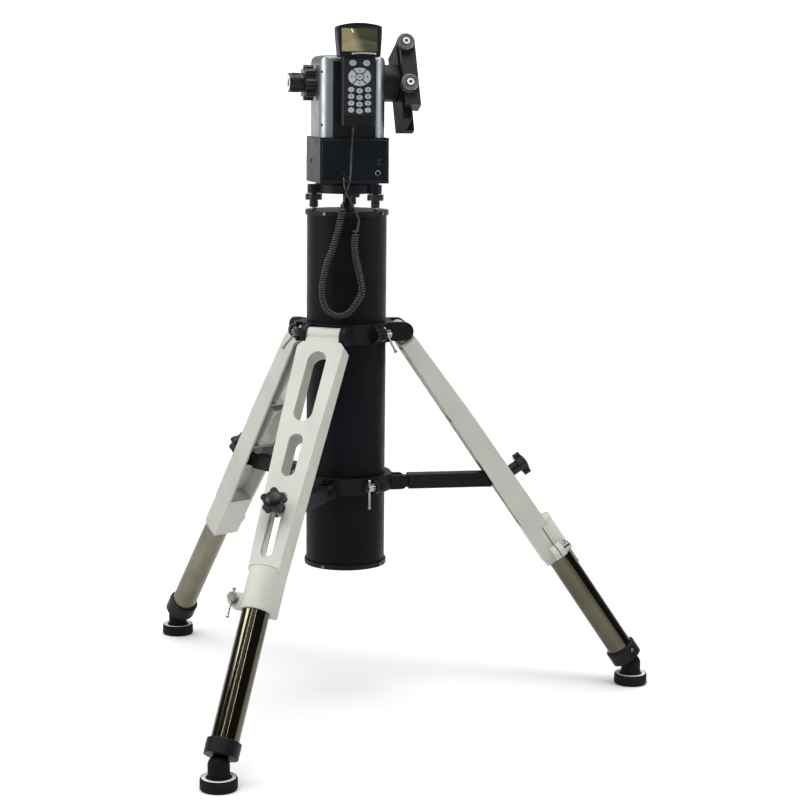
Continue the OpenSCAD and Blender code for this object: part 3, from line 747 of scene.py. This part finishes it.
for k, a in enumerate(LEVEL_TURN, 1):
    at = turn(a, "Z") @ shift(LEVEL_R, 0, 0)
    body = f"levelling_screw_{k}"
    turned(
        f"screw_tip_{k}",
        ((0, PIER_HIGH + 0.4), (3.6, PIER_HIGH + 0.4), (4.3, PIER_HIGH + 1.4),
         (4.3, PIER_HIGH + 6.4), (0, PIER_HIGH + 6.4)),
        at, "zinc", body, "zinc_screws", 32,
    )
    bm = bmesh.new()
    rib = round_outline(0.9, 1.1, 0.3, 2)
    for step in range(24):
        place = at @ turn(15 * step, "Z") @ shift(7.7, 0, 0)
        add_prism(bm, rib, PIER_HIGH + 7, PIER_HIGH + 18, place)
    finish_mesh(f"screw_grip_{k}", bm, ROOM, "knob_black", body, "black_plastic")

# ---- base box ----

FACE = HEAD @ shift(0, -BOX_W / 2, BOX_LOW) @ FORWARD

# grey frame around the front panel: a painted highlight along the panel's seam
bm = bmesh.new()
add_frame(bm, 125, 78, 0.7, -0.2, 0.25, FACE @ shift(0, 42.5, 0))
finish_mesh("box_seam_highlight", bm, ROOM, "jaw_grey", "head", "black_box")

# contacts and liners of the two ports, behind the front wall
for k, x in enumerate(PORTS_X, 1):
    port = FACE @ shift(x, SOCKET_HIGH, 0)
    bm = bmesh.new()
    add_prism(bm, round_outline(10.8, 10.8, 0.6, 3), -9, -7.5, port, 0.3)
    add_frame(bm, 10.9, 10.9, 0.7, -8, -0.2, port)
    contact = round_outline(0.6, 2.2, 0.2, 2)
    for pin in range(6):
        add_prism(bm, contact, -7.6, -3, port @ shift(1.25 * pin - 3.1, 2.9, 0))
    finish_mesh(f"port_liner_{k}", bm, ROOM, "mark", "head", "black_plastic")

jack = FACE @ shift(JACK_X, SOCKET_HIGH, 0)
turned(
    "jack_ring",
    ((3.9, -3.6), (4.85, -3.6), (4.9, 0.2), (5.2, 0.2), (5.3, 0.5), (5.1, 0.8), (4.4, 0.8),
     (3.9, 0.5)),
    jack, "zinc", "head", "black_box", 40,
)
turned(
    "jack_pin",
    ((0, -2), (0.6, -2.2), (0.9, -2.8), (0.9, -9), (0, -9)),
    jack @ shift(0, 0.4, 0), "zinc", "head", "zinc_screws", 20,
)
turned(
    "jack_back",
    ((0, -9), (4.8, -9), (4.8, -7.8), (0, -7.8)),
    jack, "mark", "head", "black_plastic", 32,
)

bm = bmesh.new()
add_frame(bm, 14.2, 18.2, 1.0, -0.2, 0.5, FACE @ shift(ROCKER_X, ROCKER_HIGH, 0))
finish_mesh("rocker_bezel", bm, ROOM, "moulded", "head", "black_plastic")

# a bar and a ring, the marks of on and off
tip = HEAD @ shift(ROCKER_X, 4 - BOX_W / 2, BOX_LOW + ROCKER_HIGH) @ turn(6, "X") @ FORWARD
bm = bmesh.new()
add_prism(bm, round_outline(0.9, 3.4, 0.4, 3), 5.5, 5.8, tip @ shift(0, 3.6, 0))
outer, inner = circle_outline(1.6, 20), circle_outline(1.1, 20)
for n in range(20):
    m = (n + 1) % 20
    corners = (outer[n], outer[m], inner[m], inner[n])
    add_prism(bm, corners, 5.5, 5.8, tip @ shift(0, -3.6, 0))
finish_mesh("rocker_marks", bm, ROOM, "knob_grey", "power_rocker", "black_plastic")

turned(
    "side_grommet",
    ((2.2, -3), (2.95, -3), (2.98, 0.1), (4.6, 0.2), (4.7, 0.5), (4.2, 0.9), (2.4, 0.9),
     (2.2, 0.5)),
    HEAD @ shift(-BOX_W / 2, 20, BOX_LOW + 40) @ turn(-90, "Y"),
    "moulded", "head", "black_box", 32,
)

# ---- tower, clutch wheel and counterweight socket ----

for k, (x, z) in enumerate(((-59.7, 23), (-59.7, 121), (59.7, 23), (59.7, 121)), 1):
    turned(
        f"tower_screw_{k}",
        ((0, 0.2), (1.1, 0.2), (1.2, 0.9), (2.3, 0.8), (2.7, 0.2), (2.7, -2.5), (0, -2.5)),
        HEAD @ shift(x, -47.2, BOX_TOP + z) @ turn(-58 if x < 0 else 58, "Z") @ FORWARD,
        "mark", "head", "black_plastic", 24,
    )

# knurling and end face of the counterweight socket
drum = HEAD @ shift(0, 0, ALT_Z) @ turn(-90, "Y")  # z outwards to the left
bm = bmesh.new()
ridge = ((-0.8, -0.75), (0.45, -0.2), (0.45, 0.2), (-0.8, 0.75))
for step in range(40):
    place = drum @ turn(9 * step, "Z") @ shift(DRUM_R, 0, 0)
    add_prism(bm, ridge, DRUM_OUT - 20, DRUM_OUT - 5, place)
finish_mesh("socket_knurling", bm, ROOM, "knob_black", "altitude", "dark_anodised")
turned(
    "socket_face",
    ((7, DRUM_OUT - 0.3), (DRUM_R - 3, DRUM_OUT - 0.3), (DRUM_R - 3.4, DRUM_OUT + 0.5),
     (7.6, DRUM_OUT + 0.5)),
    drum, "aluminium", "altitude", "dark_anodised",
)

# ---- saddle knobs ----

for name, z in (("upper", 58), ("lower", -26)):
    at = SADDLE @ shift(HUB_OUT + 12.5, -51.5, z) @ FORWARD
    body = f"saddle_knob_{name}"
    turned(
        f"knob_face_{name}",
        ((6.6, 11.6), (7.4, 12.4), (8.6, 12.4), (9, 12.1), (9.4, 12.7), (11.6, 12.7),
         (12, 12.2), (12.4, 12.7), (14.6, 12.7), (15.2, 12.3), (15.8, 12.5), (16.5, 11.4),
         (16.5, 10.4), (6.6, 10.4)),
        at, "knob_grey", body, "grey_aluminium", 64, 20,
    )
    turned(
        f"knob_ring_{name}",
        ((3, 11), (6.8, 11), (7, 14.2), (6.4, 14.8), (3.6, 14.8), (3, 14.2)),
        at, "ring_white", body, "grey_aluminium", 40,
    )
    # dark rings on the knob's face: painted shade for its machined grooves
    bm = bmesh.new()
    for radius in (7.6, 10.2, 13.2):
        outside = radius + 1.1
        shade_ring = ((radius, 12.2), (outside, 12.2), (outside, 12.95), (radius, 12.95))
        add_lathe(bm, shade_ring, 64)
    finish_mesh(f"knob_groove_shade_{name}", bm, at, "mark", body, "grey_aluminium")
    turned(
        f"knob_middle_{name}",
        ((0, 14.3), (1.6, 14.2), (2.9, 14.5), (3.05, 13), (0, 13)),
        at, "mark", body, "black_plastic", 32,
    )
    bm = bmesh.new()
    ridge = ((-0.6, -0.9), (0.75, -0.45), (0.75, 0.45), (-0.6, 0.9))
    for step in range(36):
        place = at @ turn(10 * step, "Z") @ shift(16.5, 0, 0)
        add_prism(bm, ridge, 2.2, 10.2, place)
    finish_mesh(f"knob_grip_{name}", bm, ROOM, "knob_black", body, "grey_aluminium")
    turned(
        f"knob_collar_{name}",
        ((8, 0.2), (16.2, 0.2), (17.1, 0.6), (17.1, 1.6), (16.4, 2), (8, 2)),
        at, "zinc" if name == "lower" else "anodised", body, "grey_aluminium", 48,
    )

# ---- handset ----

bm = bmesh.new()
glass = SCREEN @ shift(-1.5, -32.5, 29.3) @ FORWARD
add_prism(bm, round_outline(68.5, 42, 1.5), -0.2, 0.35, glass, 0.15)
finish_mesh("display_glass", bm, ROOM, "display", "head", "screen")
bm = bmesh.new()
add_frame(bm, 72.5, 49.5, 2.0, -1, 0.9, SCREEN @ shift(-1, -32.5, 31) @ FORWARD)
finish_mesh("display_bezel", bm, ROOM, "moulded", "head", "black_plastic")

# white strip along the lower edge of the window, drawn along a shallow arc: a painted
# highlight
bm = bmesh.new()
place = SCREEN @ shift(0, -33.1, 0) @ FORWARD
highlight_arc = [(-16 + 46 * t / 12, 4.4 + 1.2 * math.sin(math.pi * t / 12)) for t in range(13)]
for (xa, za), (xb, zb) in zip(highlight_arc, highlight_arc[1:]):
    corners = ((xa, za - 1.4), (xb, zb - 1.4), (xb, zb + 0.9), (xa, za + 0.9))
    add_prism(bm, corners, -0.2, 0.5, place)
finish_mesh("display_highlight_strip", bm, ROOM, "ring_white", "head", "black_plastic")

KEYS = HANDSET @ shift(0, HANDSET_FRONT - MAT_OUT - KEY_OUT, NAV_Z) @ FORWARD
# strokes of a numeral on a grid two wide and four high
STROKES = {
    "a": (0, 4, 2, 4), "b": (2, 2, 2, 4), "c": (2, 0, 2, 2), "d": (0, 0, 2, 0),
    "e": (0, 0, 0, 2), "f": (0, 2, 0, 4), "g": (0, 2, 2, 2),
}
# the strokes on each key, row by row: 1 to 9, a dash, 0 and a dash
NUMERALS = (
    "bc", "abged", "abgcd",
    "fgbc", "afgcd", "afgedc",
    "abc", "abcdefg", "abcdfg",
    "g", "abcdef", "g",
)

bm = bmesh.new()
for number, strokes in enumerate(NUMERALS):
    row, column = divmod(number, 3)
    x = 16 * (column - 1)
    z = -23.3 - 12.5 * row - (2.2 if column == 1 else 0)
    for stroke in strokes:
        x0, y0, x1, y1 = (0.95 * value for value in STROKES[stroke])
        add_stroke(bm, x + x0 - 0.95, z + y0 - 1.9, x + x1 - 0.95, z + y1 - 1.9, 0.7, KEYS)
for x in (-13, 13):
    for line in (-1, 1):
        add_stroke(bm, x - 2.6, 25.3 + 1.1 * line, x + 2.6, 25.3 + 1.1 * line, 0.6, KEYS)
for z in (0.9, -0.9):
    add_stroke(bm, -3, z, 3, z, 0.6, KEYS)
finish_mesh("key_marks", bm, ROOM, "mark", "head", "key_rubber")

arrow = ((-2.2, -1.3), (2.2, -1.3), (0, 1.7))
for name, a, reach in (
    ("up", 0, 12.2),
    ("left", 90, 15.2),
    ("down", 180, 12.2),
    ("right", 270, 15.2),
):
    bm = bmesh.new()
    add_prism(bm, arrow, -0.05, 0.14, KEYS @ turn(a, "Z") @ shift(0, reach, 0))
    finish_mesh(f"arrow_{name}", bm, ROOM, "mark", f"key_{name}", "key_rubber")

# grommet that the cord leaves the handset through
turned(
    "cord_grommet",
    ((2.1, -0.8), (2.9, -1.2), (3.7, -0.6), (3.9, 0.4), (2.95, 0.4), (2.9, 3), (2.1, 3)),
    HANDSET @ shift(-8, HANDSET_BACK - 13, HANDSET_LOW),
    "moulded", "head", "black_plastic", 28,
)

# ---- light and floor ----

# parts of the sky's strength: axis, where it starts and ends, and its strength there
SKY = (
    ("Y", 0.2, 0.9, 0.05, 0.45),  # a wall that is brighter behind the mount
    ("Z", 0.70, 0.98, 0.0, 3.3),  # a bright ceiling
    ("Z", 0.04, 0.09, 1.0, 0.0),  # a low bright band all round
)
HEAD_AT, FRONT_TUBE_AT = (0, 0, 1.2), (-0.3, -0.55, 0.25)
# name, place, width, height, power in watts, and what it faces
LIGHTS = (
    ("key", (0.2, -0.9, 4.0), 1.2, 1.2, 28, (0, 0, 0.75)),
    ("left", (-1.3, -0.45, 1.25), 0.7, 0.5, 9, HEAD_AT),
    ("right", (1.4, -0.5, 1.25), 0.5, 0.5, 5, HEAD_AT),
    ("tube_left", (-1.22, -1.91, 2.51), 0.06, 1.3, 4.5, FRONT_TUBE_AT),
    ("tube_right", (0.3, -2.1, 2.4), 0.06, 1.3, 4.5, FRONT_TUBE_AT),
    ("tube_side", (-2.2, -0.5, 2.0), 0.6, 1.2, 2.5, FRONT_TUBE_AT),
)


def make_world():
    """A soft studio: bright from above and behind the mount, dimmer in front of it."""
    world = bpy.data.worlds.new("studio")
    world.use_nodes = True
    tree = world.node_tree
    sky = tree.nodes["Background"]
    sky.inputs["Color"].default_value = (1, 1, 1, 1)
    place = tree.nodes.new("ShaderNodeTexCoord")
    split = tree.nodes.new("ShaderNodeSeparateXYZ")
    tree.links.new(place.outputs["Generated"], split.inputs[0])
    total = None
    for axis, *limits in SKY:
        part = tree.nodes.new("ShaderNodeMapRange")
        tree.links.new(split.outputs[axis], part.inputs["Value"])
        strength = set_range(part, *limits)
        if total is None:
            total = strength
            continue
        both = tree.nodes.new("ShaderNodeMath")
        tree.links.new(total, both.inputs[0])
        tree.links.new(strength, both.inputs[1])
        total = both.outputs[0]
    tree.links.new(total, sky.inputs["Strength"])
    bpy.context.scene.world = world


def make_floor():
    """A pale floor, whiter far behind the mount and greyer in front of it."""
    bm = bmesh.new()
    bmesh.ops.create_grid(bm, x_segments=2, y_segments=2, size=30)
    mesh = bpy.data.meshes.new("floor")
    bm.to_mesh(mesh)
    bm.free()
    g = Graph("floor")
    split = g.add("ShaderNodeSeparateXYZ")
    g.join(g.place, split, 0)
    back = split.outputs["Y"]
    pale = g.mix(g.noise(3, 3), (0.83, 0.83, 0.83), (0.85, 0.85, 0.85))
    pale = g.mix(g.ramp(back, 0.3, 2.5), pale, (0.94, 0.94, 0.94))
    pale = g.mix(g.ramp(back, -3.5, -0.8), (0.58, 0.58, 0.58), pale)
    g.set(Base_Color=pale, Roughness=0.9, Specular_IOR_Level=0.1)
    mesh.materials.append(g.material)
    floor = bpy.data.objects.new("floor", mesh)
    floor.location.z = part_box("foot_1")[0].z - 0.0002
    bpy.context.scene.collection.objects.link(floor)


def make_lights():
    for name, place, width, height, power, target in LIGHTS:
        data = bpy.data.lights.new(name, "AREA")
        data.shape = "RECTANGLE"
        data.size, data.size_y = width, height
        data.energy = power
        light = bpy.data.objects.new(name, data)
        light.location = place
        light.visible_camera = False
        aim = Vector(target) - Vector(place)
        light.rotation_euler = aim.to_track_quat("-Z", "Y").to_euler()
        bpy.context.scene.collection.objects.link(light)


bpy.context.scene.view_settings.view_transform = "Standard"
make_world()
make_floor()
make_lights()
